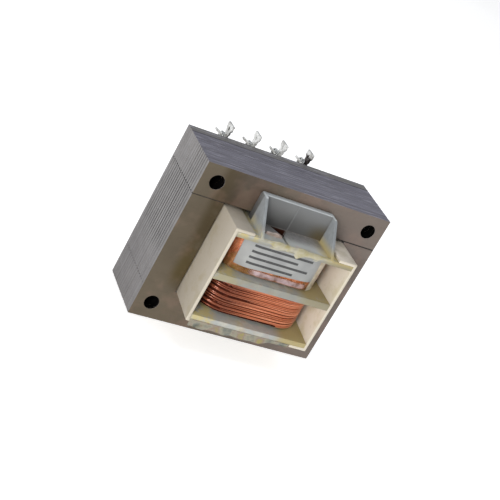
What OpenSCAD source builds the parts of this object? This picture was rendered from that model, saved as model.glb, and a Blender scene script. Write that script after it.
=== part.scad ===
// Laminated chassis transformer: an interleaved E and I core through a
// two-chamber bobbin, with side shrouds, two windings and four solder tags.
// X runs along the core, Y from the front face to the back, Z up.
// The origin is under the middle of the core.

/* [Core] */
// Length of a lamination across its three legs
core_w = 48; // [44:1:60]
// Width of the centre leg
leg_w = 16; // [14:0.5:20]
// Width of each of the two windows
window_w = 8; // [7.5:0.25:10]
// Height of the windows
window_h = 24; // [20:0.5:32]
// Height of the yoke, and of the I that closes the windows
yoke_h = 8; // [6.5:0.25:12]
// Thickness of one lamination
lam_t = 0.525; // [0.35:0.025:0.75]
// Number of forward laminations, each followed by a reversed one
lam_pairs = 16; // [10:1:24]
// Air left where an I meets the legs of its E
butt_gap = 0.05; // [0:0.01:0.15]
// Diameter of the four mounting holes
hole_d = 3.5; // [3:0.1:4.6]
// Distance from a mounting hole's centre to both edges
hole_inset = 4; // [3:0.25:5]

/* [Bobbin] */
// Gap between the centre leg and the inside of the tube
tube_clear = 0.3; // [0.1:0.05:0.5]
// Wall of the tube
tube_wall = 0.8; // [0.6:0.05:1.2]
// Thickness of the top and bottom flanges
flange_t = 1.15; // [0.8:0.05:1.5]
// Thickness of the partition between the chambers
partition_t = 1.6; // [1:0.1:2.2]
// Height of the lower chamber
lower_h = 8.85; // [7:0.05:11]
// How far the flanges stand out from the core, front and back
reach = 9.4; // [8:0.1:12]
// How far the bottom flange has splayed down at its front and back edges
splay = 0.8; // [0:0.1:1.2]
// Gap between the core's faces and the carriers
core_clear = 0.2; // [0.05:0.05:0.4]

/* [Carriers] */
// Thickness of the two upright carrier walls
wall_t = 1.4; // [1:0.1:2]
// Height of the front carrier above the top flange
front_h = 6.75; // [4:0.25:7.5]
// Width of the front carrier
front_w = 18.9; // [16:0.1:20]
// Height of the rear carrier above the top flange
rear_h = 7.75; // [6:0.25:9]
// Radius of the walls' top corners
corner_r = 0.6; // [0.1:0.1:1.5]
// Thickness of the sloping cheeks
cheek_t = 0.7; // [0.5:0.05:1.2]
// How far a cheek stands out from the wall at its top
cheek_top = 1.1; // [0.6:0.1:3]
// Height of the cheeks' step where they meet the flange's edge
cheek_foot = 0.15; // [0:0.05:1]
// Width of the slits that let leads through the flanges
slit_w = 0.7; // [0.5:0.05:1]
// Width of the front slit's throat beside the wall
throat_w = 4.4; // [2:0.1:6]
// Length of the throat
throat_l = 2.9; // [1.5:0.1:4]
// Where the front slit lies to the left of the middle
throat_x = 2.1; // [0:0.1:4]

/* [Side shrouds] */
// Sheet thickness of the shrouds
shroud_t = 0.7; // [0.5:0.05:1]
// How far a shroud reaches over the top and bottom flanges
ledge_w = 4.7; // [2:0.1:5.5]
// Gap between a shroud and the outer leg
side_clear = 0.3; // [0.1:0.05:0.6]
// Gap between the shrouds and the top of the window
top_clear = 0.45; // [0.1:0.05:0.8]
// Gap between the shrouds' inner faces and the flanges' ends
flange_clear = 0.05; // [0.02:0.01:0.2]

/* [Windings] */
// Diameter of the lower winding's wire with its enamel
wire_d = 0.41; // [0.3:0.01:0.6]
// Build of the lower winding beside the tube
lower_build = 4.8; // [2:0.1:5]
// Diameter of the upper winding's lead-out wire
fine_d = 0.25; // [0.15:0.05:0.4]
// Build of the upper winding beside the tube
upper_build = 4.3; // [2:0.1:5]
// How much more a winding builds at front and back, where it bows out
bow = 1.2; // [0:0.1:2]
// Radius of a winding's corners
coil_r = 7; // [3:0.25:8]
// Gap above and below the upper winding and its tape
coil_clear = 0.15; // [0.05:0.05:0.5]
// Thickness of the clear tape round the upper winding
tape_t = 0.12; // [0.05:0.01:0.3]
// Thickness of the paper label
label_t = 0.1; // [0.05:0.01:0.2]
// Width of the label, laid round the front of the winding
label_w = 19.7; // [8:0.1:21]
// Height of the label
label_h = 6.4; // [3:0.1:7.5]
// How far the label sits left of the middle and above it
label_off = 0.6; // [0:0.1:0.8]
// Slant at which the label was stuck on, in degrees
label_slant = 2.5; // [0:0.5:3]

/* [Solder tags] */
// Distance from one tag to the next
tag_pitch = 7.2; // [5:0.1:7.2]
// Place of the first tag along the rear carrier
tag_first = -14.1; // [-14.1:0.1:-11]
// Sheet thickness of a tag
tag_t = 0.5; // [0.3:0.05:0.8]
// Width of a tag's shank where the carrier grips it
shank_w = 0.8; // [0.6:0.05:1]
// Depth of the shank in the carrier
shank_depth = 5; // [3:0.25:5.5]
// Width of a tag's neck
neck_w = 2.1; // [1.6:0.1:2.6]
// Width of a tag's head
head_w = 3.2; // [2.8:0.1:4]
// Height of the tags' tops above the core
tag_rise = 3; // [2.5:0.1:5]
// Height of a tag's head
head_h = 1.2; // [1:0.1:2]
// Diameter of the eye in a tag's head
eye_d = 0.9; // [0.5:0.05:1.2]
// Length of the prong that a lead is wrapped on
prong_l = 3.4; // [2.4:0.1:4.5]
// Width of the prong
prong_w = 0.9; // [0.6:0.05:1.2]
// Angle of the prong above level, in degrees
prong_rise = 25; // [0:5:40]
// How far beside its tag a lead comes up
lead_aside = 1.6; // [1:0.1:2.2]

/* [Film] */
// Length of the film of hardened varnish under the front edge
film_l = 20.6; // [10:0.1:25]
// How far the film hangs down
film_drop = 2; // [1:0.1:3]
// Depth of the waves in the film's lower edge
film_wave = 0.25; // [0:0.05:0.6]
// Thickness of the film
film_t = 0.2; // [0.1:0.05:0.4]

/* [Hidden] */
$fn = 48;
eps = 0.02;

// Core
core_h = window_h + 2 * yoke_h;
stack_d = 2 * lam_pairs * lam_t;
face_y = stack_d / 2;
e_h = yoke_h + window_h - butt_gap;

// Tube and flanges
tube_in_x = leg_w / 2 + tube_clear;
tube_in_y = face_y + tube_clear;
tube_x = tube_in_x + tube_wall;
tube_y = tube_in_y + tube_wall;
shroud_x = leg_w / 2 + window_w - side_clear;
shroud_in = shroud_x - shroud_t;
flange_x = shroud_in - flange_clear;
edge_y = face_y + reach;
shroud_z0 = yoke_h;
shroud_z1 = yoke_h + window_h - top_clear;
bobbin_z0 = shroud_z0 + shroud_t;
bobbin_z1 = shroud_z1 - shroud_t;
lower_z0 = bobbin_z0 + flange_t;
lower_z1 = lower_z0 + lower_h;
upper_z0 = lower_z1 + partition_t;
upper_z1 = bobbin_z1 - flange_t;

// Carriers
wall_y0 = face_y + core_clear;
wall_y1 = wall_y0 + wall_t;
wall_y = (wall_y0 + wall_y1) / 2;
rear_w = 2 * flange_x;
rear_top = bobbin_z1 + rear_h;
rib_w = 0.3;
rib_out = 0.08;

// Windings: half width and half depth of each
lower_x = tube_x + lower_build;
lower_y = tube_y + lower_build + bow;
upper_x = tube_x + upper_build;
upper_y = tube_y + upper_build + bow;
lower_turns = floor(lower_h / wire_d);

// Tags and leads
tag_h = core_h + tag_rise - rear_top;
tag_x = [for (i = [0:3]) tag_first + i * tag_pitch];
barrier_x = (tag_x[1] + tag_x[2]) / 2;
boss_w = 1.8;
boss_t = 0.6;
boss_foot = 0.8;
shoulder_h = 0.5;
prong_z = rear_top + 0.5;
lead_y = (lower_y + edge_y) / 2;
lead_z = 2;
lead_start = 1;
lead_turns = 2.5;
lead_clear = 0.03;
prong_y = wall_y0 + norm([prong_w, tag_t]) / 2 + lead_clear + wire_d;
wire_sides = 8;
curve_steps = 4;
turn_steps = 12;
film_steps = 24;

// ---------- core ----------

module bolt_holes(z) {
    for (x = [-1, 1]) translate([x * (core_w / 2 - hole_inset), z]) circle(d = hole_d);
}

// Outline of an E that stands on its yoke
module e_outline() {
    outer_leg = (core_w - leg_w) / 2 - window_w;
    difference() {
        translate([-core_w / 2, 0]) square([core_w, e_h]);
        for (x = [-core_w / 2 + outer_leg, leg_w / 2])
            translate([x, yoke_h]) square([window_w, e_h]);
        bolt_holes(hole_inset);
    }
}

// Outline of an I that closes the windows of such an E
module i_outline() {
    difference() {
        translate([-core_w / 2, core_h - yoke_h]) square([core_w, yoke_h]);
        bolt_holes(core_h - hole_inset);
    }
}

// One lamination of the stack for each pair, upright; parity 0 or 1 sets which of the pair
module stack(parity) {
    for (i = [0:lam_pairs - 1])
        translate([0, -face_y + (2 * i + parity + 1) * lam_t, 0])
            rotate([90, 0, 0]) linear_extrude(lam_t) children();
}

module head_down() {
    translate([0, core_h]) mirror([0, 1]) children();
}

module e_laminations_forward() color("#77716c") stack(0) e_outline();
module i_laminations_top() color("#7b7570") stack(0) i_outline();
module e_laminations_reversed() color("#6f6a66") stack(1) head_down() e_outline();
module i_laminations_bottom() color("#736e6a") stack(1) head_down() i_outline();

// ---------- bobbin ----------

// Level plate as wide as the chambers
module plate(z0, t) {
    translate([-flange_x, -edge_y, z0]) cube([2 * flange_x, 2 * edge_y, t]);
}

// Profile of the bottom flange or its ledge: level under the core, splayed past its faces
module splayed_profile(z0, t) {
    y = face_y + core_clear;
    polygon([
        [-edge_y, z0 - splay], [-y, z0], [y, z0], [edge_y, z0 - splay],
        [edge_y, z0 - splay + t], [y, z0 + t], [-y, z0 + t], [-edge_y, z0 - splay + t]
    ]);
}

// Extrudes a profile drawn in Y and Z along X, between x0 and x1
module along_x(x0, x1) {
    translate([x0, 0, 0]) rotate([90, 0, 90]) linear_extrude(x1 - x0) children();
}

// Sloping cheek between a carrier's wall and the flange's edge
module cheek(x, h) {
    along_x(x - cheek_t / 2, x + cheek_t / 2)
        polygon([
            [wall_y0, bobbin_z1 - eps], [edge_y, bobbin_z1 - eps],
            [edge_y, bobbin_z1 + cheek_foot],
            [wall_y1 + cheek_top, bobbin_z1 + h], [wall_y0, bobbin_z1 + h]
        ]);
}

// Carrier wall of width w and height h with a cheek at each x in cheeks, on the +Y side
module carrier(w, h, cheeks) {
    intersection() {
        union() {
            translate([-w / 2, wall_y0, bobbin_z1 - eps]) cube([w, wall_t, h + eps]);
            for (x = cheeks) cheek(x, h);
        }
        translate([0, edge_y, bobbin_z1 - eps]) rotate([90, 0, 0]) linear_extrude(edge_y)
            arched_rect(w, h + eps, corner_r);
    }
}

// Rectangle standing on the middle of its foot, with its two top corners rounded
module arched_rect(w, h, r) {
    translate([-w / 2, 0]) square([w, h - r]);
    translate([-w / 2 + r, 0]) square([w - 2 * r, h]);
    for (s = [-1, 1]) translate([s * (w / 2 - r), h - r]) circle(r = r);
}

// Opening that lets a lead through the front of the top flange: a throat by the wall, then a slit
module lead_throat() {
    tip_y = wall_y1 + throat_l;
    rotate(180) translate([throat_x, 0, upper_z1 - 1]) linear_extrude(flange_t + 1) {
        polygon([
            [-throat_w / 2, tube_y], [-throat_w / 2, wall_y1], [-slit_w / 2, tip_y],
            [slit_w / 2, tip_y], [throat_w / 2, wall_y1], [throat_w / 2, tube_y]
        ]);
        translate([-slit_w / 2, tip_y - slit_w]) square([slit_w, edge_y - tip_y + slit_w + 1]);
    }
}

// Notch in the rear edge of a flange or partition, with a round root
module lead_notch(x, z0, z1) {
    y = lead_y - slit_w;
    translate([x, 0, z0 - 1]) linear_extrude(z1 - z0 + 2) {
        translate([0, y]) circle(d = slit_w);
        translate([-slit_w / 2, y]) square([slit_w, edge_y - y + 1]);
    }
}

// Boss on the rear wall that backs a tag's shank
module tag_boss(x) {
    translate([x - boss_w / 2, wall_y1 - eps, rear_top - shank_depth - boss_foot])
        cube([boss_w, boss_t + eps, shank_depth + boss_foot]);
}

// Slot that a tag's shank is pressed into
module tag_slot(x) {
    translate([x - tag_t / 2, wall_y - shank_w / 2, rear_top - shank_depth])
        cube([tag_t, shank_w, shank_depth + 1]);
}

// Thin upright rib on the middle of the front wall
module rib() {
    translate([-rib_w / 2, -wall_y1 - rib_out, bobbin_z1 - eps])
        cube([rib_w, rib_out + eps, front_h - rib_w]);
}

module bobbin() color("#b9bab2") {
    end_x = (rear_w - cheek_t) / 2;
    difference() {
        union() {
            translate([-tube_x, -tube_y, bobbin_z0])
                cube([2 * tube_x, 2 * tube_y, bobbin_z1 - bobbin_z0]);
            plate(upper_z1, flange_t);
            plate(lower_z1, partition_t);
            along_x(-flange_x, flange_x) splayed_profile(bobbin_z0, flange_t);
            rotate(180) carrier(front_w, front_h, [for (s = [-1, 1]) s * (front_w - cheek_t) / 2]);
            rib();
            // the rear carrier has a barrier between the two windings' tags
            carrier(rear_w, rear_h, [-end_x, barrier_x, end_x]);
            for (x = tag_x) tag_boss(x);
        }
        translate([-tube_in_x, -tube_in_y, bobbin_z0 - 1])
            cube([2 * tube_in_x, 2 * tube_in_y, bobbin_z1 - bobbin_z0 + 2]);
        lead_throat();
        for (i = [0:3]) lead_notch(lead_x(i), upper_z1, bobbin_z1);
        for (i = [2:3]) lead_notch(lead_x(i), lower_z1, upper_z0);
        for (x = tag_x) tag_slot(x);
    }
}

// ---------- side shrouds ----------

// Channel round the flanges' ends, open towards the core's middle
module shroud() {
    along_x(shroud_in, shroud_x)
        polygon([
            [-edge_y, shroud_z0 - splay], [-face_y - core_clear, shroud_z0],
            [face_y + core_clear, shroud_z0], [edge_y, shroud_z0 - splay],
            [edge_y, shroud_z1], [-edge_y, shroud_z1]
        ]);
    along_x(shroud_x - ledge_w, shroud_x) splayed_profile(shroud_z0, shroud_t);
    // the top ledge stops short of the rear carrier
    translate([shroud_x - ledge_w, -edge_y, bobbin_z1])
        cube([ledge_w, edge_y + wall_y0 - core_clear, shroud_t]);
}

module left_shroud() color("#c2bba6") mirror([1, 0, 0]) shroud();
module right_shroud() color("#c2bba6") shroud();

// ---------- windings ----------

// Rounded rectangle of half width x and half depth y
module rounded_rect(x, y, r) {
    square([2 * x, 2 * (y - r)], center = true);
    square([2 * (x - r), 2 * y], center = true);
    for (i = [-1, 1], j = [-1, 1]) translate([i * (x - r), j * (y - r)]) circle(r = r);
}

module tube_core(z0, z1) {
    translate([-tube_x, -tube_y, z0 - 1]) cube([2 * tube_x, 2 * tube_y, z1 - z0 + 2]);
}

// Carries a section, drawn from a corner's centre outwards, round a coil's outline
module coil_sweep(x, y, r) {
    for (a = [0, 180]) rotate(a) {
        translate([x - r, y - r, 0]) rotate([90, 0, 0]) linear_extrude(2 * (y - r)) children();
        translate([x - r, y - r, 0]) rotate([90, 0, 90]) translate([0, 0, -2 * (x - r)])
            linear_extrude(2 * (x - r)) children();
        translate([x - r, y - r, 0]) rotate_extrude(angle = 90) children();
        translate([r - x, y - r, 0]) rotate(90) rotate_extrude(angle = 90) children();
    }
}

// Section of the lower winding, with the turns of its last layer standing out
module lower_section() {
    h = lower_turns * wire_d;
    square([coil_r - wire_d / 2, h]);
    for (i = [0:lower_turns - 1])
        translate([coil_r - wire_d / 2, (i + 0.5) * wire_d]) circle(d = wire_d, $fn = 24);
}

module lower_winding() color("#b06a4a") difference() {
    translate([0, 0, lower_z0]) coil_sweep(lower_x, lower_y, coil_r) lower_section();
    tube_core(lower_z0, lower_z1);
}

module upper_winding() color("#a0583a") {
    z0 = upper_z0 + coil_clear;
    z1 = upper_z1 - coil_clear;
    difference() {
        translate([0, 0, z0]) linear_extrude(z1 - z0) rounded_rect(upper_x, upper_y, coil_r);
        tube_core(z0, z1);
    }
}

// Sleeve of thickness t that lies on an outline offset out by gap
module sleeve(gap, t, z0, z1) {
    translate([0, 0, z0]) linear_extrude(z1 - z0) difference() {
        rounded_rect(upper_x + gap + t, upper_y + gap + t, coil_r + gap + t);
        rounded_rect(upper_x + gap, upper_y + gap, coil_r + gap);
    }
}

module winding_tape() color("#c9a68e") sleeve(0, tape_t, upper_z0 + coil_clear, upper_z1 - coil_clear);

module rating_label() color("#b4b4b2") intersection() {
    sleeve(tape_t, label_t, upper_z0, upper_z1);
    translate([-label_off, -upper_y, (upper_z0 + upper_z1) / 2 + label_off])
        rotate([0, -label_slant, 0]) cube([label_w, upper_y, label_h], center = true);
}

// ---------- solder tags ----------

// Flat blank of a tag, drawn in Y and Z about the shank's axis; it passes behind the core
module tag_blank() {
    shoulder = tag_h - head_h;
    neck_top = shoulder - shoulder_h;
    foot_y = wall_y0 - wall_y;
    foot_z = max(core_h - rear_top, 0) + core_clear;
    difference() {
        union() {
            translate([-shank_w / 2, -shank_depth]) square([shank_w, shank_depth + eps]);
            polygon([
                [foot_y, 0], [neck_w / 2, 0], [neck_w / 2, neck_top], [head_w / 2, shoulder],
                [head_w / 2, tag_h], [-head_w / 2, tag_h], [-head_w / 2, shoulder],
                [-neck_w / 2, neck_top], [-neck_w / 2, foot_z + neck_w / 2 + foot_y], [foot_y, foot_z]
            ]);
        }
        translate([0, tag_h - head_h]) circle(d = eye_d);
    }
}

module solder_tag(i) color("#b9bcbc") translate([tag_x[i], wall_y, rear_top]) {
    along_x(-tag_t / 2, tag_t / 2) tag_blank();
    translate([0, prong_y - wall_y, prong_z - rear_top]) rotate([0, prong_rise, 0])
        translate([-prong_l, -prong_w / 2, 0]) cube([prong_l, prong_w, tag_t]);
}

module solder_tag_1() solder_tag(0);
module solder_tag_2() solder_tag(1);
module solder_tag_3() solder_tag(2);
module solder_tag_4() solder_tag(3);

// ---------- leads ----------

// Place along X where the lead of tag i comes up through the flanges
function lead_x(i) = tag_x[i] + lead_aside;

function unit(v) = v / norm(v);

// Point at share t between b and c of a smooth curve through a, b, c and d
function between(a, b, c, d, t) =
    0.5 * (2 * b + (c - a) * t + (2 * a - 5 * b + 4 * c - d) * t * t + (3 * b - a - 3 * c + d) * t * t * t);

// Smooth curve through a list of points, with n steps from each to the next
function smooth(p, n) = let(last = len(p) - 1) concat(
    [for (i = [0:last - 1], k = [0:n - 1])
        between(p[max(i - 1, 0)], p[i], p[i + 1], p[min(i + 2, last)], k / n)],
    [p[last]]
);

// One normal for each direction in a list, carried along without twist
function carried(dirs, normal, i = 0) = i == len(dirs) ? [] :
    let(u = unit(normal - (normal * dirs[i]) * dirs[i])) concat([u], carried(dirs, u, i + 1));

// Tube of diameter d swept along a list of points, starting square to +Y
module swept_wire(points, d) {
    last = len(points) - 1;
    n = wire_sides;
    dirs = [for (i = [0:last]) i == 0 ? [0, 1, 0] : unit(points[min(i + 1, last)] - points[i - 1])];
    normals = carried(dirs, [1, 0, 0]);
    skin = [for (i = [0:last], k = [0:n - 1])
        let(a = 360 * k / n, across = cross(dirs[i], normals[i]))
        points[i] + d / 2 * (cos(a) * normals[i] + sin(a) * across)];
    walls = [for (i = [0:last - 1], k = [0:n - 1])
        let(j = (k + 1) % n) [i * n + k, i * n + j, (i + 1) * n + j, (i + 1) * n + k]];
    ends = [[for (k = [n - 1:-1:0]) k], [for (k = [0:n - 1]) last * n + k]];
    polyhedron(skin, concat(walls, ends), convexity = 6);
}

// Turns of a lead of diameter d round the prong of tag i
function prong_turns(i, d) =
    let(
        axis = [-cos(prong_rise), 0, sin(prong_rise)],
        up = [sin(prong_rise), 0, cos(prong_rise)],
        r = norm([prong_w, tag_t]) / 2 + d / 2 + lead_clear,
        foot = [tag_x[i], prong_y, prong_z] + up * tag_t / 2
    )
    [for (k = [0:turn_steps * lead_turns])
        let(a = 360 * k / turn_steps)
        foot + axis * (lead_start + (d + lead_clear) * a / 360) + r * (cos(a) * [0, 1, 0] + sin(a) * up)];

// Lead of diameter d from the flat back of a coil, below its top at z1, to the prong of tag i
module lead(i, d, coil_x, coil_y, z1) {
    x = lead_x(i);
    flat_x = coil_x - coil_r - d;
    x0 = min(max(x, -flat_x), flat_x);
    z0 = z1 - lead_z;
    route = [
        [x0, coil_y, z0], [(x0 + x) / 2, lead_y, z0 + lead_z / 4], [x, lead_y, z0 + lead_z / 2],
        [x, lead_y, bobbin_z1 + lead_z / 2], [x, (lead_y + wall_y1) / 2, rear_top - lead_z]
    ];
    turns = prong_turns(i, d);
    rise = smooth(concat(route, [turns[0]]), curve_steps);
    swept_wire(concat(rise, [for (k = [1:len(turns) - 1]) turns[k]]), d);
}

module upper_lead(i) color("#b5714e") lead(i, fine_d, upper_x, upper_y + tape_t, upper_z1);
module lower_lead(i) color("#b5714e") lead(i, wire_d, lower_x, lower_y, lower_z1);

module upper_lead_1() upper_lead(0);
module upper_lead_2() upper_lead(1);
module lower_lead_1() lower_lead(2);
module lower_lead_2() lower_lead(3);

// ---------- film of hardened varnish ----------

// Hangs from the front edge of the bottom flange between the ledges, and from the left one
module edge_film() color("#a9aba0") {
    x0 = -flange_x + flange_clear;
    ledge_x = shroud_x - ledge_w;
    z1 = bobbin_z0 - splay;
    z0 = z1 - film_drop;
    ledge_z = z1 - shroud_t;
    translate([0, film_t - edge_y, 0]) rotate([90, 0, 0]) linear_extrude(film_t)
        polygon(concat(
            [[-ledge_x, z1], [-ledge_x, ledge_z], [x0, ledge_z], [x0, z0]],
            [for (k = [1:film_steps - 1]) let(x = x0 + film_l * k / film_steps)
                [x, z0 + film_wave * (1 - cos(540 * k / film_steps)) / 2]],
            [[x0 + film_l, ledge_z], [ledge_x, ledge_z], [ledge_x, z1]]
        ));
}

e_laminations_forward();
i_laminations_top();
e_laminations_reversed();
i_laminations_bottom();
bobbin();
left_shroud();
right_shroud();
lower_winding();
upper_winding();
winding_tape();
rating_label();
solder_tag_1();
solder_tag_2();
solder_tag_3();
solder_tag_4();
upper_lead_1();
upper_lead_2();
lower_lead_1();
lower_lead_2();
edge_film();
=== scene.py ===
"""Looks of the laminated chassis transformer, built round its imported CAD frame.

Named sizes are in millimetres: X runs across the front, Y to the back and Z up.
"""

import math
import random

import bmesh
import bpy
from mathutils import Matrix, Vector, noise


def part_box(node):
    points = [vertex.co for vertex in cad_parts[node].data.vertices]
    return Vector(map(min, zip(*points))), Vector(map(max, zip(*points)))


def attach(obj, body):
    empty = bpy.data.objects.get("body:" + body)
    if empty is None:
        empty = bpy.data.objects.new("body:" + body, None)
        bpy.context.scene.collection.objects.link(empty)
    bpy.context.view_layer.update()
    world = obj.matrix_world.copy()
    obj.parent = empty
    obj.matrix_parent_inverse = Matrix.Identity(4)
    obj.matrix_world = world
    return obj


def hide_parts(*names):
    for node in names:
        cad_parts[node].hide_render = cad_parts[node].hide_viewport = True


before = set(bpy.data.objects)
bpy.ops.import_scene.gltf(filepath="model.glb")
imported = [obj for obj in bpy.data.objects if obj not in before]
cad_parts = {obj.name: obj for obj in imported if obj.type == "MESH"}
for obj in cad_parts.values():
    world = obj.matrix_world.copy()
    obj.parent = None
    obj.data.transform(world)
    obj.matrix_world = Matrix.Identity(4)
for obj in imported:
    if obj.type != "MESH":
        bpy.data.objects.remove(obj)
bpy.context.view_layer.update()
MM = 0.001
rng = random.Random(48)


# ---------- sizes ----------

def box_mm(node):
    """Lowest and highest corners of a CAD node."""
    low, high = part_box(node)
    return Vector(low) / MM, Vector(high) / MM


def top_mm(node):
    """Highest corner of a CAD node, rounded to a micrometre."""
    return [round(value, 3) for value in box_mm(node)[1]]


# from the frame
CORE_X, _, CORE_H = top_mm("i_laminations_top")
YOKE_H = top_mm("i_laminations_bottom")[2]
BACK_Y = top_mm("e_laminations_reversed")[1]
_, FLANGE_Y, REAR_TOP = top_mm("bobbin")
FLANGE_X = round(box_mm("right_shroud")[0].x, 3)
SEAM_Z = CORE_H - YOKE_H

# the core's sheets, and its four bolt holes, each midway across a yoke and an outer leg
SHEETS = 32
SHEET_T = 2 * BACK_Y / SHEETS
HOLE_R = 1.75
HOLE_X = CORE_X - YOKE_H / 2
HOLE_Z = SEAM_Z / 2
SHEET_SHIFT = 0.02

# the bobbin: its upper flange, its partition, the front carrier, the throat's middle and the tube
FLANGE_TOP = 30.85
PARTITION_Z = 19.35
CARRIER_TOP = 37.6
THROAT_X = -2.1
TUBE_X, TUBE_Y = 9.1, 9.5
TUBE_R = 0.4

# the windings, and the prongs that the leads are wrapped on
TURNS = 21
COIL_R = 7.0
WIRE_FILL = 0.84
TURN_RISE, TURN_SLACK, TURN_SUNK = 0.09, 0.14, 0.27
FINE_PITCH = 0.25
TAPE_T = top_mm("winding_tape")[0] - top_mm("upper_winding")[0]
TAPE_SLACK, TAPE_FLARE = 0.12, 0.15
PRONG_Y = 9.65
PRONG_Z = REAR_TOP + 0.5

# the film under the front edge, and the bars on the label
FILM_L = 20.6
FILM_T = 0.09
FILM_TAPER = 2.5
LABEL_BARS = 4

# the photo's camera, worked out from the core's corners, its seams and its bolt holes
CAMERA_PLACE = (-140.35, -230.70, 129.45)
CAMERA_LOOK = (0.48235, 0.79027, -0.37791)
CAMERA_ROLL = 29.83
CAMERA_LENS = 91.95

SKY_GLOW = 0.30
FLOOR_GLOW = 0.56


# ---------- camera and light ----------

def add_camera():
    """Looks at the part from where the photo was taken."""
    data = bpy.data.cameras.new("camera")
    data.sensor_width = 36
    data.lens = CAMERA_LENS
    data.clip_start = 0.01
    camera = bpy.data.objects.new("camera", data)
    bpy.context.scene.collection.objects.link(camera)
    turn = Vector(CAMERA_LOOK).to_track_quat("-Z", "Y").to_matrix().to_4x4()
    roll = Matrix.Rotation(math.radians(CAMERA_ROLL), 4, "Z")
    camera.matrix_world = Matrix.Translation(Vector(CAMERA_PLACE) * MM) @ turn @ roll
    bpy.context.scene.camera = camera


def add_light(name, place, aim, side, power, tint):
    """Square area light at a place in metres, turned to what it lights."""
    data = bpy.data.lights.new(name, "AREA")
    data.shape = "RECTANGLE"
    data.size = data.size_y = side
    data.energy = power
    data.color = tint
    light = bpy.data.objects.new(name, data)
    bpy.context.scene.collection.objects.link(light)
    light.location = place
    light.rotation_euler = (Vector(aim) - Vector(place)).to_track_quat("-Z", "Y").to_euler()


def add_world():
    """Soft sky light that pales to the floor's white at the horizon."""
    world = bpy.data.worlds.new("studio")
    world.use_nodes = True
    tree = world.node_tree
    back = tree.nodes["Background"]
    direction = tree.nodes.new("ShaderNodeSeparateXYZ")
    tree.links.new(tree.nodes.new("ShaderNodeTexCoord").outputs["Generated"], direction.inputs[0])
    fade = tree.nodes.new("ShaderNodeMapRange")
    fade.interpolation_type = "SMOOTHSTEP"
    for name, value in {"From Min": 0.08, "From Max": 0.18, "To Min": 1.0, "To Max": SKY_GLOW}.items():
        fade.inputs[name].default_value = value
    tree.links.new(direction.outputs["Z"], fade.inputs["Value"])
    tree.links.new(fade.outputs[0], back.inputs["Strength"])
    back.inputs["Color"].default_value = (0.97, 0.98, 1.0, 1)
    bpy.context.scene.world = world


# ---------- materials ----------

def tone(text):
    """Linear colour, with alpha, of an sRGB hex value."""
    parts = [int(text[i:i + 2], 16) / 255 for i in (0, 2, 4)]
    return (*(p / 12.92 if p <= 0.04045 else ((p + 0.055) / 1.055) ** 2.4 for p in parts), 1)


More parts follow.
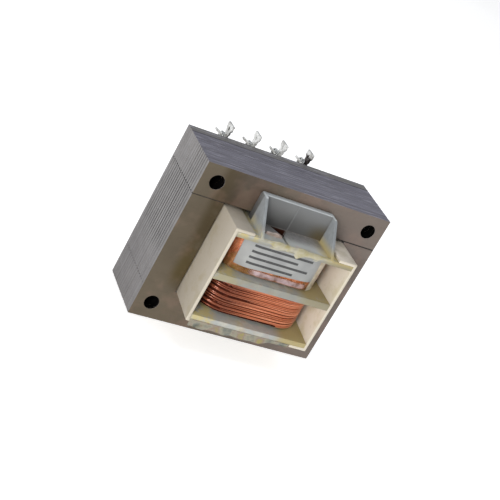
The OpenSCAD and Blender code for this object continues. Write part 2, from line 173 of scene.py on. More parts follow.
class Shader:
    """A principled material with short calls for the nodes that feed it."""

    def __init__(self, name, **sockets):
        self.material = bpy.data.materials.new(name)
        self.material.use_nodes = True
        self.tree = self.material.node_tree
        self.bsdf = self.tree.nodes["Principled BSDF"]
        self.set(self.bsdf, sockets)
        self.place = self.tree.nodes.new("ShaderNodeTexCoord").outputs["Object"]

    def set(self, node, sockets):
        """Links or sets a node's sockets, by name or number; a text value is a hex colour."""
        for name, value in sockets.items():
            socket = node.inputs[int(name) if name.isdigit() else name.replace("_", " ")]
            if isinstance(value, bpy.types.NodeSocket):
                self.tree.links.new(value, socket)
            else:
                socket.default_value = tone(value) if isinstance(value, str) else value

    def node(self, kind, output=0, settings=None, **sockets):
        """Adds a node and gives one of its outputs."""
        node = self.tree.nodes.new("ShaderNode" + kind)
        for name, value in (settings or {}).items():
            setattr(node, name, value)
        self.set(node, sockets)
        return node.outputs[output]

    def mm(self, scale=(1, 1, 1), turn=(0, 0, 0)):
        """Place on the object in millimetres, stretched by scale after a turn in degrees."""
        return self.node("Mapping", Vector=self.place, Rotation=[math.radians(a) for a in turn],
                         Scale=[s / MM for s in scale])

    def split(self, vector):
        """X, Y and Z of a vector."""
        node = self.tree.nodes.new("ShaderNodeSeparateXYZ")
        self.tree.links.new(vector, node.inputs[0])
        return tuple(node.outputs)

    def axes(self):
        """X, Y and Z on the object in millimetres."""
        return self.split(self.mm())

    def noise(self, scale, detail=3, roughness=0.5, stretch=(1, 1, 1), turn=(0, 0, 0), seed=0):
        """Noise with features about 1/scale millimetres wide."""
        return self.node("TexNoise", settings={"noise_dimensions": "4D"}, Vector=self.mm(stretch, turn),
                         W=seed, Scale=scale, Detail=detail, Roughness=roughness)

    def math(self, kind, a, b=0.0):
        """One step of arithmetic on a value or two."""
        return self.node("Math", settings={"operation": kind}, **{"0": a, "1": b})

    def both(self, a, b):
        """Product of two masks, 1 only where both are."""
        return self.math("MULTIPLY", a, b)

    def distance(self, value, mark=0.0):
        """How far a value is from a mark, either way."""
        return self.math("ABSOLUTE", self.math("SUBTRACT", value, mark))

    def between(self, value, low, high, out_low=0.0, out_high=1.0):
        """Smooth step of a value from low to high; low may be the larger."""
        return self.node("MapRange", settings={"interpolation_type": "SMOOTHSTEP"}, Value=value,
                         **{"From Min": low, "From Max": high, "To Min": out_low, "To Max": out_high})

    def patchy(self, scale, seed, low, high, *out):
        """Soft patches, where noise of this scale rises from low to high."""
        return self.between(self.noise(scale, 3, 0.6, seed=seed), low, high, *out)

    def ramp(self, value, *stops):
        """Colour ramp; each stop is a position and a hex colour."""
        node = self.tree.nodes.new("ShaderNodeValToRGB")
        self.tree.links.new(value, node.inputs[0])
        points = node.color_ramp.elements
        while len(points) < len(stops):
            points.new(0.5)
        for point, (at, color) in zip(points, stops):
            point.position = at
            point.color = tone(color)
        return node.outputs[0]

    def mix(self, share, a, b):
        """Blend of two colours: a at share 0, b at share 1."""
        return self.node("Mix", 2, {"data_type": "RGBA"}, **{"0": share, "6": a, "7": b})

    def paint(self, color, mask, strength, shade):
        """Lays a shade over a colour where the mask is 1, at this strength."""
        return self.mix(self.both(mask, strength), color, shade)

    def bump(self, height, depth_mm):
        """Surface direction of a small relief."""
        return self.node("Bump", Height=height, Distance=depth_mm * MM, Strength=1.0)

    def finish(self, **sockets):
        """Sets the shader's last sockets and gives the material."""
        self.set(self.bsdf, sockets)
        return self.material


def cut_edges(s, y, z, top, depth, cloud, streak):
    """Edges of the sheets: grey at the ends, with a painted bluish sky reflection and streaks on top, and a
    line between pairs.
    """
    end = s.ramp(cloud, (0.3, "6c6a6a"), (0.7, "807e7e"))
    end = s.paint(end, s.between(z, 17, 11), 0.5, "5f5c5d")
    # painted reflection: the top faces are bluish, as if they mirrored the sky, over real streaks and
    # scratches
    top_sheen_and_wear = s.ramp(streak, (0.25, "5d5c67"), (0.5, "72717d"), (0.8, "8b8a96"))
    rear = s.between(y, BACK_Y - 2.8, BACK_Y - 2.5)
    top_sheen_and_wear = s.mix(rear, top_sheen_and_wear, s.ramp(streak, (0.3, "686766"), (0.7, "7c7b7a")))
    dark_line = s.both(s.between(y, BACK_Y - 3.3, BACK_Y - 3.0), s.math("SUBTRACT", 1, rear))
    top_sheen_and_wear = s.paint(top_sheen_and_wear, dark_line, 0.85, "34323f")
    scratch = s.noise(2.5, 2, 0.5, stretch=(0.07, 1, 1), turn=(0, 0, 5), seed=23)
    top_sheen_and_wear = s.paint(top_sheen_and_wear, s.between(scratch, 0.56, 0.66), 0.6, "a8a7b4")
    own = s.node("TexWhiteNoise", settings={"noise_dimensions": "1D"}, W=s.math("FLOOR", depth))
    edge = s.mix(0.1, s.mix(top, end, top_sheen_and_wear), s.ramp(own, (0, "4a494c"), (1, "9a9a9c")))

    # the burrs of each pair of sheets meet in a dark line, worn off near the foot and the faces
    pair = s.math("PINGPONG", s.math("DIVIDE", depth, 2), 0.5)
    groove = s.both(s.between(pair, 0.22, 0.1), s.between(y, 0.5 - BACK_Y, 1.5 - BACK_Y))
    groove = s.both(groove, s.between(y, BACK_Y - 0.4, BACK_Y - 1.2))
    under = s.both(s.between(z, 11, 19), s.between(z, SEAM_Z + 0.3, SEAM_Z))
    over = s.both(s.between(z, SEAM_Z, SEAM_Z + 0.3), s.between(y, 4, -3))
    worn = s.between(s.noise(0.15, 3, 0.6, stretch=(1, 1, 0.4), seed=19), 0.3, 0.55, 0.6, 1.0)
    left = s.both(s.math("ADD", under, s.both(over, 0.8)), worn)
    groove = s.both(groove, s.math("MAXIMUM", left, 0.2))
    return s.paint(edge, groove, s.math("SUBTRACT", 0.95, s.both(top, 0.7)), "121212")


def flat_faces(s, x, z, cloud):
    """Front and back of the core: brownish, with a varnish stain down the left of the bobbin."""
    brown = s.ramp(cloud, (0.25, "51493b"), (0.75, "615748"))
    grey = s.ramp(cloud, (0.25, "635953"), (0.75, "71675f"))
    face = s.mix(s.between(x, -16, 14), brown, grey)
    beside = s.both(s.between(x, -20.5, -17.8), s.between(x, -13, -15))
    stain = s.both(s.both(beside, s.patchy(0.16, 8, 0.2, 0.5)), s.between(z, 8, 13))
    face = s.paint(face, stain, 0.85, s.mix(s.between(z, 15, 25), "4e4224", "40351f"))
    # painted shade: a patchy darker patch on the front face to the left of the carrier, just above the top
    # flange
    shade_beside_carrier = s.both(s.between(x, -19, -13), s.both(s.between(x, -4, -9), s.between(z, 30, 34)))
    face = s.paint(face, shade_beside_carrier, s.patchy(0.2, 11, 0.3, 0.6, 0.2, 0.8), "4a4138")
    return s.paint(face, s.patchy(0.12, 14, 0.5, 0.65), 0.25, "8a6f62")


def steel_material():
    """Varnished silicon steel, with a dark line where each I meets its E."""
    s = Shader("lamination_steel", Metallic=0.25, Specular_IOR_Level=0.4)
    x, y, z = s.axes()
    _, facing_y, facing_z = s.split(s.node("NewGeometry", "Normal"))
    front = s.between(s.distance(facing_y), 0.6, 0.9)
    top = s.between(facing_z, 0.6, 0.9)
    depth = s.math("DIVIDE", s.math("ADD", y, BACK_Y), SHEET_T)
    cloud = s.noise(0.09, 4, 0.6)
    streak = s.noise(0.5, 5, 0.65, stretch=(0.06, 1, 1), seed=3)
    fleck = s.noise(2.2, 3, 0.6, stretch=(0.3, 1, 1), seed=5)
    color = s.mix(front, cut_edges(s, y, z, top, depth, cloud, streak), flat_faces(s, x, z, cloud))

    # the I lies under the E in the odd sheets and over it in the even ones
    odd = s.math("MODULO", s.math("FLOOR", depth), 2)
    low_seam = s.both(odd, s.between(s.distance(z, YOKE_H), 0.2, 0.08))
    high_seam = s.both(s.math("SUBTRACT", 1, odd), s.between(s.distance(z, SEAM_Z), 0.2, 0.08))
    faint = s.math("SUBTRACT", 0.95, s.both(front, s.between(x, 4, -12, 0, 0.6)))
    color = s.paint(color, s.math("MAXIMUM", s.both(low_seam, 0.4), high_seam), faint, "121110")
    color = s.paint(color, s.between(fleck, 0.55, 0.8), 0.25, "342f2c")
    rough = s.between(streak, 0.2, 0.8, 0.4, 0.62)
    return s.finish(Base_Color=color, Roughness=rough, Normal=s.bump(fleck, 0.012))


def bore_material():
    """The walls of the bolt holes: painted near black as the holes' shade, with no shine."""
    s = Shader("painted_bore_shade", Roughness=0.9, Specular_IOR_Level=0.0)
    return s.finish(Base_Color=s.ramp(s.noise(1.0), (0.3, "060606"), (0.7, "100f0f")))


def plastic_material(name, clean, aged, shade):
    """Moulded plastic that varnish has yellowed in patches, with darker spots of grime."""
    s = Shader(name, Roughness=0.4)
    patches = s.noise(0.28, 5, 0.62)
    grime = s.noise(1.3, 4, 0.6, seed=4)
    color = s.ramp(patches, (0.3, clean), (0.5, clean), (0.72, aged))
    color = s.paint(color, s.between(grime, 0.55, 0.8), 0.3, shade)
    return s, color, grime, patches


def shroud_material():
    """Cream plastic, greyer on the left shroud."""
    s, color, grime, patches = plastic_material("cream_shroud", "c6beb0", "b5ab8e", "857c6d")
    x, y, z = s.axes()
    color = s.mix(s.between(x, 4, -4), color, s.mix(0.6, color, "736b5e"))
    # grey where the top ledge has been handled, and a pale painted highlight along the front edges
    ledge = s.both(s.between(z, FLANGE_TOP + 0.05, FLANGE_TOP + 0.65), s.between(patches, 0.35, 0.6))
    color = s.paint(color, ledge, 0.4, "9a948a")
    # painted highlight: the front edges are paler
    rim = s.between(s.distance(y), FLANGE_Y - 0.3, FLANGE_Y - 0.1)
    color = s.paint(color, rim, 0.6, "c6bfae")
    return s.finish(Base_Color=color, Normal=s.bump(grime, 0.01))


def flange_plastic(s, color, x, y, z):
    """The bobbin's flanges: bluish and pinkish patches, yellow at the right and in the left corner."""
    color = s.paint(color, s.patchy(0.2, 12, 0.35, 0.55), 0.7, "8f9597")
    color = s.paint(color, s.patchy(0.35, 17, 0.56, 0.68), 0.5, "a58d80")
    right = s.both(s.between(x, 5.5, 9.5), s.patchy(0.3, 15, 0.15, 0.4))
    color = s.paint(color, right, 0.85, "a29157")
    corner = s.both(s.between(x, -8.0, -10.5), s.patchy(0.5, 18, 0.35, 0.55))
    color = s.paint(color, corner, 0.8, "b3a56c")
    # painted shade: the front and back edges of the partition and the top flange's lower part are darker
    # grey, to hold back the light they catch
    rim = s.between(s.distance(y), FLANGE_Y - 0.2, FLANGE_Y - 0.05)
    edge = s.both(rim, s.both(s.between(z, FLANGE_TOP, FLANGE_TOP - 1), s.between(z, 14, 16)))
    return s.paint(color, edge, 0.6, "6f6f66")


def carrier_wall(s, x, z):
    """The carriers' walls: dark where the core shows through them, with painted shade low down and to the
    left, and a pale rib up the middle.
    """
    # painted light and shade: the wall is lighter upwards and to the right, darker low down and to the left
    light = s.math("ADD", s.between(z, FLANGE_TOP, FLANGE_TOP + 6.5, 0, 0.75), s.between(x, -9, 9, 0, 0.25))
    core_and_shade = s.ramp(light, (0, "474747"), (0.5, "595a5a"), (1, "707273"))
    stain = s.both(s.between(x, 3.5, 8.2), s.between(z, FLANGE_TOP + 5, FLANGE_TOP + 1))
    core_and_shade = s.paint(core_and_shade, stain, 0.85, "4b4023")
    return s.paint(core_and_shade, s.between(s.distance(x), 0.25, 0.1), 0.18, "8a8d8f")


def bobbin_material():
    """The bobbin: bluish over the top flange, yellow with varnish below it."""
    s, color, grime, patches = plastic_material("bobbin_plastic", "b0aea2", "a39666", "7a7352")
    x, y, z = s.axes()
    color = flange_plastic(s, color, x, y, z)
    cool = s.ramp(patches, (0.3, "75797b"), (0.7, "92979a"))
    color = s.mix(s.between(z, FLANGE_TOP + 0.2, FLANGE_TOP + 2.5), color, cool)

    # painted highlight along the carriers' thin rims, which look pale; their walls are dark, with painted
    # shade
    upper_rim_highlight = s.between(z, CARRIER_TOP - 0.35, CARRIER_TOP - 0.1)
    outer_rim_highlight = s.both(s.between(s.distance(y), FLANGE_Y - 0.3, FLANGE_Y - 0.1),
                       s.between(z, FLANGE_TOP + 0.2, FLANGE_TOP + 0.6))
    color = s.paint(color, s.math("MAXIMUM", upper_rim_highlight, outer_rim_highlight), 0.7, "b9bfc1")
    wall = s.both(s.between(z, FLANGE_TOP - 0.1, FLANGE_TOP + 0.3), s.between(s.distance(y), 10.5, 10.2))
    wall = s.both(wall, s.between(z, CARRIER_TOP - 0.1, CARRIER_TOP - 0.3))
    color = s.mix(wall, color, carrier_wall(s, x, z))

    # painted shade, mottled, on the flange inside the front carrier, where its cheeks keep the light off
    inside = s.both(s.between(s.distance(x), 9.2, 8.0), s.between(z, FLANGE_TOP - 0.3, FLANGE_TOP - 0.05))
    inside = s.both(inside, s.between(z, FLANGE_TOP + 0.3, FLANGE_TOP + 0.1))
    bay_shade = s.ramp(grime, (0.35, "4d4b4a"), (0.65, "6c6869"))
    color = s.paint(color, s.both(inside, s.between(y, -15.8, -12.5)), 0.7, bay_shade)

    # gloom under the carrier's foot, where the lead's throat opens
    throat = s.both(s.between(s.distance(x, THROAT_X), 2.4, 2.0), s.between(y, -9.2, -9.4))
    throat = s.both(throat, s.between(z, FLANGE_TOP - 0.05, FLANGE_TOP - 0.2))
    color = s.paint(color, throat, s.between(y, -12.4, -11.0), "3a1c12")
    height = s.both(grime, s.between(z, FLANGE_TOP + 0.4, FLANGE_TOP + 0.1))
    return s.finish(Base_Color=color, Normal=s.bump(height, 0.01))


def copper_material(name, light, middle, dark, grain=(1, 1, 1)):
    """Enamelled copper wire, with its roughness."""
    s = Shader(name, Metallic=0.6, Coat_Weight=0.6, Coat_Roughness=0.15)
    cloud = s.noise(0.5, 3, 0.6, stretch=grain)
    color = s.ramp(cloud, (0.3, dark), (0.5, middle), (0.7, light))
    return s, color, s.between(cloud, 0.2, 0.8, 0.24, 0.4)


def wire_material():
    """The thick wire, darker towards the left, in the shroud's shade."""
    s, color, rough = copper_material("thick_wire", "f4a680", "cf7a52", "a04c2a", grain=(0.12, 0.12, 3.5))
    x, _, _ = s.axes()
    return s.finish(Base_Color=s.paint(color, s.between(x, 2, -9), 0.75, "65260f"), Roughness=rough)


def buried_material():
    """The layers of wire below the outer turns, painted dark as shade so that they show as dark gaps."""
    s = Shader("buried_wire_shade", Roughness=0.7, Specular_IOR_Level=0.1)
    return s.finish(Base_Color=s.ramp(s.noise(0.8), (0.3, "260b04"), (0.7, "4c1b0a")))


def lead_material():
    """Copper below, tinned where the lead is wrapped and soldered on its prong."""
    s, color, rough = copper_material("lead_wire", "c97f56", "ad603a", "84401f")
    _, _, z = s.axes()
    tinned = s.between(z, PRONG_Z - 0.9, PRONG_Z - 0.3)
    solder = s.ramp(s.noise(1.5, 3, 0.6, seed=7), (0.3, "8f9292"), (0.7, "cfd1d0"))
    return s.finish(Base_Color=s.mix(tinned, color, solder), Roughness=rough)


def upper_coil_material():
    """Layers of fine wire under clear tape: mottled copper with pools of varnish."""
    s = Shader("fine_winding", Metallic=0.45, Coat_Weight=0.7, Coat_Roughness=0.1, Roughness=0.4)
    _, _, z = s.axes()
    cloud = s.noise(0.6, 3, 0.55)
    color = s.ramp(cloud, (0.3, "6a3014"), (0.5, "b25c2e"), (0.7, "d88a60"))
    color = s.paint(color, s.patchy(0.4, 6, 0.52, 0.64), 0.6, "6e5a22")
    foot = s.both(s.between(z, 22.6, 20.6), s.between(cloud, 0.3, 0.5))
    color = s.paint(color, foot, 0.7, "7c6c34")
    # painted shade: dark along the top of the coil, under the top flange
    color = s.paint(color, s.between(z, 29.2, 29.4), 0.85, "2a1209")
    turns = s.math("SINE", s.both(z, 2 * math.pi / FINE_PITCH))
    return s.finish(Base_Color=color, Normal=s.bump(s.math("ADD", s.both(turns, 0.3), cloud), 0.012))


def varnish_material(name, *stops, depth=0.05, scale=0.4, rough=0.3):
    """Hardened milky varnish with a glossy, gently uneven face."""
    s = Shader(name, Specular_IOR_Level=0.6, Coat_Weight=0.3, Coat_Roughness=0.1, Roughness=rough)
    cloud = s.noise(scale, 3, 0.55)
    waves = s.noise(scale * 1.3, 1, 0.4, seed=27)
    return s.finish(Base_Color=s.ramp(cloud, *stops), Normal=s.bump(waves, depth))


def tape_material():
    """Clear tape with an opaque painted pinkish highlight where it stands off under the label, and a pale
    end.
    """
    s = Shader("clear_tape", Roughness=0.25, Specular_IOR_Level=0.5, Coat_Weight=0.4, Coat_Roughness=0.1)
    x, y, z = s.axes()
    cloud = s.noise(0.5, 4, 0.55)
    # painted highlight: a pale pink band along the tape's lower edge under the label
    low = s.math("ADD", z, s.both(s.noise(0.25, 2, 0.5, seed=31), 1.2))
    fold = s.both(s.between(low, 22.9, 22.1), s.between(low, 21.0, 21.7))
    fold = s.both(fold, s.both(s.between(x, -7.5, -4.5), s.between(x, 9.5, 6.5)))
    fold = s.both(fold, s.between(y, 0, -10))
    fold_highlight = s.ramp(cloud, (0.38, "74584e"), (0.5, "9a8281"), (0.62, "b8a2a6"))
    color = s.mix(fold, s.ramp(cloud, (0.35, "a86a48"), (0.7, "c9a08a")), fold_highlight)
    end = s.both(s.between(x, 8.9, 9.5), s.between(x, 11.4, 10.8))
    color = s.mix(end, color, s.ramp(cloud, (0.35, "a89a84"), (0.65, "c9c2b0")))
    # the painted highlight and the pale end are opaque; elsewhere the tape is nearly clear
    milky = s.math("MAXIMUM", s.between(fold, 0.1, 0.7), s.between(end, 0.4, 0.6))
    return s.finish(Base_Color=color, Alpha=s.math("MAXIMUM", 0.03, milky),
                    Normal=s.bump(s.noise(0.4, 1, 0.4, seed=33), 0.15))


def label_material():
    """Grey paper with a few plain bars where a rating plate would be printed."""
    s = Shader("label_paper", Roughness=0.45, Coat_Weight=0.3, Coat_Roughness=0.15)
    low, high = box_mm("rating_label")
    width = high.x - low.x
    step = (high.z - low.z) / (LABEL_BARS + 1)
    margin = 0.12 * width
    start = low.x + margin
    half_bar, blur = 0.2 * step, 0.05
    x, _, z = s.axes()
    ink = 0.0
    for bar in range(LABEL_BARS):
        across = s.between(s.distance(z, high.z - step * (bar + 1)), half_bar + blur, half_bar - blur)
        end = high.x - margin - 0.16 * width * (bar % 2)
        along = s.both(s.between(x, start, start + 2 * blur), s.between(x, end, end - 2 * blur))
        ink = s.math("MAXIMUM", ink, s.both(across, along))
    fibre = s.noise(3, 4, 0.6)
    color = s.ramp(s.noise(0.2, 2, 0.5, seed=41), (0.35, "7d7f80"), (0.65, "989a99"))
    color = s.paint(color, fibre, 0.2, "aeb0ae")
    color = s.paint(color, ink, s.between(fibre, 0.3, 0.5, 0.8, 0.95), "1c1c1f")
    return s.finish(Base_Color=color, Normal=s.bump(fibre, 0.01))


def tin_material():
    """Tinned tags; flux has greyed the first one's neck and browned the last one's."""
    s = Shader("tinned_tag", Metallic=0.35)
    x, _, z = s.axes()
    cloud = s.noise(1.2, 4, 0.6)
    color = s.ramp(cloud, (0.3, "c3c5c3"), (0.7, "f0f1f0"))
    color = s.paint(color, s.patchy(0.5, 9, 0.5, 0.62), 0.5, "6a655e")
    neck = s.between(z, CORE_H + 2.2, CORE_H + 1.7)
    first = s.both(s.between(x, -12, -12.4), s.between(x, -14.4, -14.1))
    color = s.paint(color, s.both(first, neck), 0.8, "4c4e4b")
    color = s.paint(color, s.both(s.between(x, 6.5, 6.9), neck), 0.97, "1a0e0a")
    rough = s.between(cloud, 0.2, 0.8, 0.25, 0.5)
    return s.finish(Base_Color=color, Roughness=rough, Normal=s.bump(cloud, 0.03))


def solder_material():
    """Bright solder, a little uneven."""
    s = Shader("solder", Metallic=0.3)
    cloud = s.noise(1.8, 3, 0.6)
    color = s.ramp(cloud, (0.3, "cdcfcd"), (0.7, "f4f5f4"))
    rough = s.between(cloud, 0.2, 0.8, 0.15, 0.4)
    return s.finish(Base_Color=color, Roughness=rough, Normal=s.bump(cloud, 0.04))


def floor_material():
    """Nearly white floor that glows a little, so that it meets the sky without an edge."""
    s = Shader("pale_floor", Roughness=0.8, Emission_Strength=FLOOR_GLOW)
    white = s.node("MapRange", Value=s.noise(0.01, 2, 0.5),
                   **{"From Min": 0.3, "From Max": 0.7, "To Min": 0.93, "To Max": 0.96})
    return s.finish(Base_Color=white, Emission_Color=white)


# ---------- meshes ----------

def new_piece(name, mesh, material, slot, *replaced):
    """Object with one material that rides on the part and may stand for CAD nodes."""
    piece = bpy.data.objects.new(name, mesh)
    bpy.context.scene.collection.objects.link(piece)
    mesh.materials.clear()
    mesh.materials.append(material)
    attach(piece, "root")
    if replaced:
        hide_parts(*replaced)
    return piece


def smooth_shading(mesh, angle=35):
    """Smooth faces, with a sharp edge where they meet at more than an angle."""
    mesh.shade_smooth()
    mesh.set_sharp_from_angle(angle=math.radians(angle))


def finish_mesh(name, bm, material, slot, *replaced, angle=35):
    """Piece from a bmesh, smooth up to an angle between its faces."""
    mesh = bpy.data.meshes.new(name)
    bm.to_mesh(mesh)
    bm.free()
    smooth_shading(mesh, angle)
    new_piece(name, mesh, material, slot, *replaced)


def apply_modifiers(piece):
    """Gives a piece the mesh that its modifiers make."""
    graph = bpy.context.evaluated_depsgraph_get()
    made = bpy.data.meshes.new_from_object(piece.evaluated_get(graph), depsgraph=graph)
    old = piece.data
    piece.modifiers.clear()
    piece.data = made
    bpy.data.meshes.remove(old)


def in_bolt_hole(p):
    """True on the wall of one of the core's four bolt holes."""
    slack, rim = 0.14, 0.06
    off_centre = math.hypot(abs(p.x) - HOLE_X, abs(p.z - CORE_H / 2) - HOLE_Z)
    return off_centre < HOLE_R + slack and abs(p.y) < BACK_Y - rim


def softened(node, name, material, slot, bevel_mm, segments=2, move=None, bore=None):
    """A copy of a CAD node with merged faces and rounded edges, standing for it."""
    same_place, same_plane, edge_angle = 0.001 * MM, math.radians(0.5), math.radians(40)
    mesh = bpy.data.meshes.new(name)
    bm = bmesh.new()
    bm.from_mesh(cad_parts[node].data)
    bmesh.ops.remove_doubles(bm, verts=bm.verts, dist=same_place)
    bmesh.ops.dissolve_limit(bm, angle_limit=same_plane, verts=bm.verts, edges=bm.edges)
    if move:
        move(bm)
    bm.to_mesh(mesh)
    bm.free()
    piece = new_piece(name, mesh, material, slot, node)
    if bevel_mm:
        bevel = piece.modifiers.new("edges", "BEVEL")
        bevel.width = bevel_mm * MM
        bevel.segments = segments
        bevel.limit_method = "ANGLE"
        bevel.angle_limit = edge_angle
        bevel.use_clamp_overlap = True
        apply_modifiers(piece)
    if bore:
        piece.data.materials.append(bore)
        for face in piece.data.polygons:
            face.material_index = int(in_bolt_hole(face.center / MM))
    smooth_shading(piece.data)


def loose_parts(bm):
    """Lists of vertices, one for each separate solid, from front to back."""
    seen, parts = set(), []
    for start in bm.verts:
        if start in seen:
            continue
        part, stack = [], [start]
        seen.add(start)
        while stack:
            v = stack.pop()
            part.append(v)
            for e in v.link_edges:
                w = e.other_vert(v)
                if w not in seen:
                    seen.add(w)
                    stack.append(w)
        parts.append(part)
    return sorted(parts, key=lambda p: min(v.co.y for v in p))


def uneven(bm):
    """Moves each sheet a little out of line, by no more than SHEET_SHIFT across or up."""
    for part in loose_parts(bm):
        across = rng.uniform(-SHEET_SHIFT, SHEET_SHIFT)
        shift = Vector((across, 0, rng.uniform(-SHEET_SHIFT, SHEET_SHIFT))) * MM
        for v in part:
            v.co += shift


def outline(x, y, r, corner_steps, straight_steps):
    """Points of a rounded rectangle, anticlockwise from the right end of its front.

    Only sides longer than long_side are cut into straight_steps.
    """
    long_side = 1.5
    points = []
    corners = [(x - r, r - y, -90), (x - r, y - r, 0), (r - x, y - r, 90), (r - x, r - y, 180)]
    for middle_x, middle_y, start in corners:
        for k in range(corner_steps + 1):
            a = math.radians(start + 90 * k / corner_steps)
            points.append(Vector((middle_x + r * math.cos(a), middle_y + r * math.sin(a))))
    out = []
    for a, b in zip(points, points[1:] + points[:1]):
        steps = straight_steps if (b - a).length > long_side else 1
        out += [a.lerp(b, k / steps) for k in range(steps)]
    return out


def skin(bm, one, two, flip=False):
    """Faces between two rings with as many vertices each."""
    n = len(one)
    for k in range(n):
        face = [one[k], one[(k + 1) % n], two[(k + 1) % n], two[k]]
        bm.faces.new(face[::-1] if flip else face)


def skins(bm, rings, flip=False):
    """Faces along a row of rings."""
    for one, two in zip(rings, rings[1:]):
        skin(bm, one, two, flip)


def capped(bm, rings):
    """Closed surface along a row of rings, with a face over each end."""
    skins(bm, rings)
    bm.faces.new(rings[0][::-1])
    bm.faces.new(rings[-1])


def tube_mesh(bm, path, radius, sides):
    """Sweeps a round section along a list of points."""
    rings = []
    normal = (path[1] - path[0]).normalized().orthogonal().normalized()
    for i, p in enumerate(path):
        ahead = (path[min(i + 1, len(path) - 1)] - path[max(i - 1, 0)]).normalized()
        normal = (normal - normal.dot(ahead) * ahead).normalized()
        side = ahead.cross(normal)
        turns = [2 * math.pi * k / sides for k in range(sides)]
        rings.append([bm.verts.new((p + radius * (math.cos(t) * normal + math.sin(t) * side)) * MM)
                      for t in turns])
    capped(bm, rings)


def sleeve(bm, outer, inner, z0, z1):
    """Closed ring between two outlines of any number of points."""
    def loop(points, z):
        return [bm.verts.new((p.x * MM, p.y * MM, z * MM)) for p in points]
    outside = [loop(outer, z0), loop(outer, z1)]
    inside = [loop(inner, z0), loop(inner, z1)]
    skins(bm, outside)
    skins(bm, inside, flip=True)
    for loops in zip(outside, inside):
        edges = [bm.edges.get((a, b)) for ring in loops for a, b in zip(ring, ring[1:] + ring[:1])]
        bmesh.ops.triangle_fill(bm, edges=edges, use_beauty=True)
    bmesh.ops.recalc_face_normals(bm, faces=bm.faces)


# ---------- pieces ----------

def wound_path(low, high, radius):
    """Helix of uneven turns that covers a coil, with every third turn sunk towards the left.

    Each turn ends at the height and slack that the next one starts with.
    """
    shape = outline(high.x - radius, high.y - radius, COIL_R - radius, 10, 10)
    pitch = (high.z - low.z) / TURNS * (TURNS - 1) / TURNS
    rise = [rng.uniform(-TURN_RISE, TURN_RISE) for _ in range(TURNS + 1)]
    slack = [rng.uniform(-TURN_SLACK, 0.0) for _ in range(TURNS + 1)]
    sunk = [(TURN_SUNK if turn % 3 == 1 else 0.0, rng.uniform(2, 6.5)) for turn in range(TURNS)]
    sinks_over = 14
    path = []
    for turn in range(TURNS):
        depth, sunk_from = sunk[turn]
        for k, p in enumerate(shape):
            share = k / len(shape)
            here = Vector((p.x * 0.05, p.y * 0.05, turn * 0.37))
            wave = 0.08 * noise.noise(here) + rise[turn] * (1 - share) + rise[turn + 1] * share
            give = slack[turn] * (1 - share) + slack[turn + 1] * share + 0.06 * noise.noise(here * 2)
            give -= depth * min(max((sunk_from - p.x) / sinks_over, 0), 1)
            z = low.z + radius + (turn + share) * pitch + wave
            side = p.normalized() * min(give, 0)
            path.append(Vector((p.x + side.x, p.y + side.y, min(max(z, low.z + radius), high.z - radius))))
    return path


def lower_winding(material, core_material):
    """Turns of thick wire wound side by side, over the layers below them."""
    low, high = box_mm("lower_winding")
    radius = WIRE_FILL * (high.z - low.z) / TURNS / 2
    bm = bmesh.new()
    tube_mesh(bm, wound_path(low, high, radius), radius, 8)
    finish_mesh("lower_turns", bm, material, "enamelled_copper", "lower_winding", angle=80)

    bm = bmesh.new()
    inset = 1.7 * radius
    layers = outline(high.x - inset, high.y - inset, COIL_R - inset, 8, 1)
    sleeve(bm, layers, outline(TUBE_X, TUBE_Y, TUBE_R, 2, 1), low.z, high.z)
    finish_mesh("lower_layers", bm, core_material, "enamelled_copper")


def tape_wrap(material):
    """Clear tape round the upper winding, slack in places and flared along its lower edge."""
    low, high = box_mm("winding_tape")
    shape = outline(high.x, high.y, COIL_R, 14, 24)
    rows = 14
    flare_share = 0.14
    bm = bmesh.new()

    def ring(v, thickness):
        """Ring at a share v of the tape's height."""
        points = []
        for p in shape:
            wave = TAPE_SLACK * noise.noise(Vector((p.x * 0.35, p.y * 0.35, v * 2.2)))
            swell = 0.6 + noise.noise(Vector((p.x * 0.2, p.y * 0.2, 5)))
            flare = TAPE_FLARE * max(0, 1 - v / flare_share) ** 2 * swell
            away = p.normalized() * (max(wave, 0) * math.sin(math.pi * v) + flare - thickness)
            place = Vector((p.x + away.x, p.y + away.y, low.z + v * (high.z - low.z)))
            points.append(bm.verts.new(place * MM))
        return points

    outer = [ring(j / rows, 0.0) for j in range(rows + 1)]
    inner = [ring(j / rows, TAPE_T) for j in range(rows + 1)]
    skins(bm, outer)
    skins(bm, inner, flip=True)
    skin(bm, outer[0], inner[0], flip=True)
    skin(bm, outer[-1], inner[-1])
    finish_mesh("tape_wrap", bm, material, "clear_tape", "winding_tape", angle=60)


def hanging_film(material):
    """Film of hardened varnish that hangs in folds from the front edge, cut short at its right."""
    low, high = box_mm("edge_film")
    columns, rows = 90, 8
    end = low.x + FILM_L
    cut, ragged, gap, lap = 0.62, 0.14, 0.08, 0.02
    bm = bmesh.new()

    def column(x, thickness):
        """Points down one side of the film at x."""
        short = min(max((x - end + FILM_TAPER) / FILM_TAPER, 0), 1)
        drop = (high.z - low.z) * (1 - cut * short)
        drop *= 1 - ragged * (1 + noise.noise(Vector((x * 0.4, 3, 0)))) * (1 - short)
        points = []
        for j in range(rows + 1):
            v = j / rows
            fold = 1.1 * noise.noise(Vector((x * 0.35 + v, 8, v * 0.8))) + 0.25 * math.sin(x * 0.9 + 3 * v)
            y = low.y - gap - v * abs(fold) * 0.4 + thickness
            points.append(bm.verts.new(Vector((x, y, high.z - lap - v * drop)) * MM))
        return points

    places = [low.x + (high.x - low.x) * i / columns for i in range(columns + 1)]
    rings = [column(x, 0.0) + column(x, FILM_T)[::-1] for x in places]
    skins(bm, rings)
    for j in range(rows):
        bm.faces.new([rings[0][k] for k in (j, -1 - j, -2 - j, j + 1)])
        bm.faces.new([rings[-1][k] for k in (j, j + 1, -2 - j, -1 - j)])
    finish_mesh("hanging_film", bm, material, "varnish", "edge_film", angle=80)


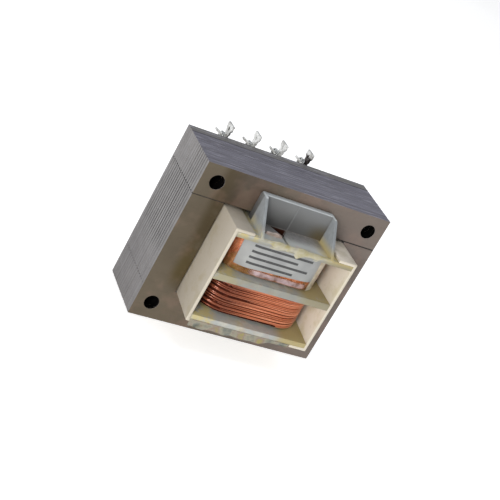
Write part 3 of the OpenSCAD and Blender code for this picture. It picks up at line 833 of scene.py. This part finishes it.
def varnish_run(name, material, span, y, z, thickness, seed, change):
    """A run of hardened varnish over a span of X; change says how much its thickness varies."""
    steps, sides = 60, 8
    start, end = span
    bm = bmesh.new()
    rings = []
    for i in range(steps + 1):
        x = start + (end - start) * i / steps
        lump = 0.9 + change * noise.noise(Vector((x * 0.35, seed, 0)))
        size = thickness * max(lump, 0.15) * math.sin(math.pi * (0.02 + 0.96 * i / steps)) ** 0.3
        drip = 0.8 + 1.2 * noise.noise(Vector((x * 0.6, seed, 4)))
        ring = []
        for k in range(sides):
            a = 2 * math.pi * k / sides
            sag = 1 + max(-math.sin(a), 0) * drip
            place = Vector((x, y + size * 0.7 * math.cos(a), z + size * sag * math.sin(a)))
            ring.append(bm.verts.new(place * MM))
        rings.append(ring)
    capped(bm, rings)
    bmesh.ops.recalc_face_normals(bm, faces=bm.faces)
    finish_mesh(name, bm, material, "varnish", angle=70)


def solder_joint(name, material, tag_node):
    """Solder run round the wraps and into the corner between prong and neck."""
    neck = box_mm(tag_node)[1].x - 0.5
    size, reach, tilt = Vector((0.85, 0.62, 0.5)), 0.75, math.radians(25)
    bm = bmesh.new()
    bmesh.ops.create_icosphere(bm, subdivisions=3, radius=1)
    for v in bm.verts:
        lump = 1 + 0.3 * noise.noise(v.co * 1.4 + Vector((neck, 0, 0)))
        v.co = v.co * size * lump
    bm.transform(Matrix.Rotation(tilt, 4, "Y"))
    bm.transform(Matrix.Translation((neck - reach, PRONG_Y, PRONG_Z + reach)))
    bm.transform(Matrix.Scale(MM, 4))
    finish_mesh(name, bm, material, "tinned_metal", angle=80)


# ---------- build ----------

bpy.context.scene.view_settings.view_transform = "Standard"
add_camera()
add_world()
add_light("key", (-0.42, -0.46, 0.20), (0, 0, 0.02), 0.22, 3.0, (1.0, 0.97, 0.93))
add_light("overhead", (0.05, 0.10, 0.70), (0, 0, 0.02), 0.6, 2.2, (0.92, 0.94, 1.0))

# the bolt holes' walls take a painted shade, near black
steel, bore_shade = steel_material(), bore_material()
for node in ("e_laminations_forward", "i_laminations_top", "e_laminations_reversed", "i_laminations_bottom"):
    softened(node, node + "_sheets", steel, "core_steel", 0.03, segments=1, move=uneven, bore=bore_shade)

softened("bobbin", "bobbin_moulding", bobbin_material(), "bobbin_plastic", 0.1)
cream = shroud_material()
for side in ("left", "right"):
    softened(side + "_shroud", side + "_shroud_moulding", cream, "shroud_plastic", 0.14)

lower_winding(wire_material(), buried_material())
softened("upper_winding", "upper_layers", upper_coil_material(), "enamelled_copper", 0.3)
lead = lead_material()
for node in ("upper_lead_1", "upper_lead_2", "lower_lead_1", "lower_lead_2"):
    softened(node, node + "_wire", lead, "enamelled_copper", 0)
tape_wrap(tape_material())
softened("rating_label", "paper_label", label_material(), "label_paper", 0)

tin, solder = tin_material(), solder_material()
for i in range(1, 5):
    softened(f"solder_tag_{i}", f"stamped_tag_{i}", tin, "tinned_metal", 0.05)
    solder_joint(f"solder_{i}", solder, f"solder_tag_{i}")

# hardened varnish, each with the colours that its patches run through
film = varnish_material("varnish_film", (0.36, "5f6259"), (0.46, "827e6b"), (0.54, "7d6c5e"),
                        (0.64, "857b42"), depth=0.45, scale=0.3, rough=0.12)
amber = varnish_material("amber_varnish", (0.36, "8f8250"), (0.5, "a59a6c"), (0.64, "b3ab84"))
milky = varnish_material("milky_varnish", (0.36, "8b897c"), (0.5, "a39e88"), (0.66, "968d60"))
pinkish = varnish_material("pinkish_varnish", (0.36, "857a70"), (0.5, "a8968c"), (0.64, "a09c8c"))
hanging_film(film)
varnish_run("glue_by_throat", pinkish, (-7.0, -2.7), -14.2, FLANGE_TOP - 0.15, 0.95, 12, 0.5)
varnish_run("glue_top_edge", milky, (0.1 - FLANGE_X, FLANGE_X - 0.1), 0.3 - FLANGE_Y,
            FLANGE_TOP - 0.25, 0.75, 5, 0.5)
varnish_run("varnish_pool_right", amber, (4.6, FLANGE_X - 0.05), 0.35 - FLANGE_Y, PARTITION_Z, 0.5, 9, 0.25)

# the floor, in metres, lies just below the part
bpy.ops.mesh.primitive_plane_add(size=8, location=(0, 0, -0.0002))
floor = bpy.context.object
floor.name = "floor"
floor.data.materials.append(floor_material())
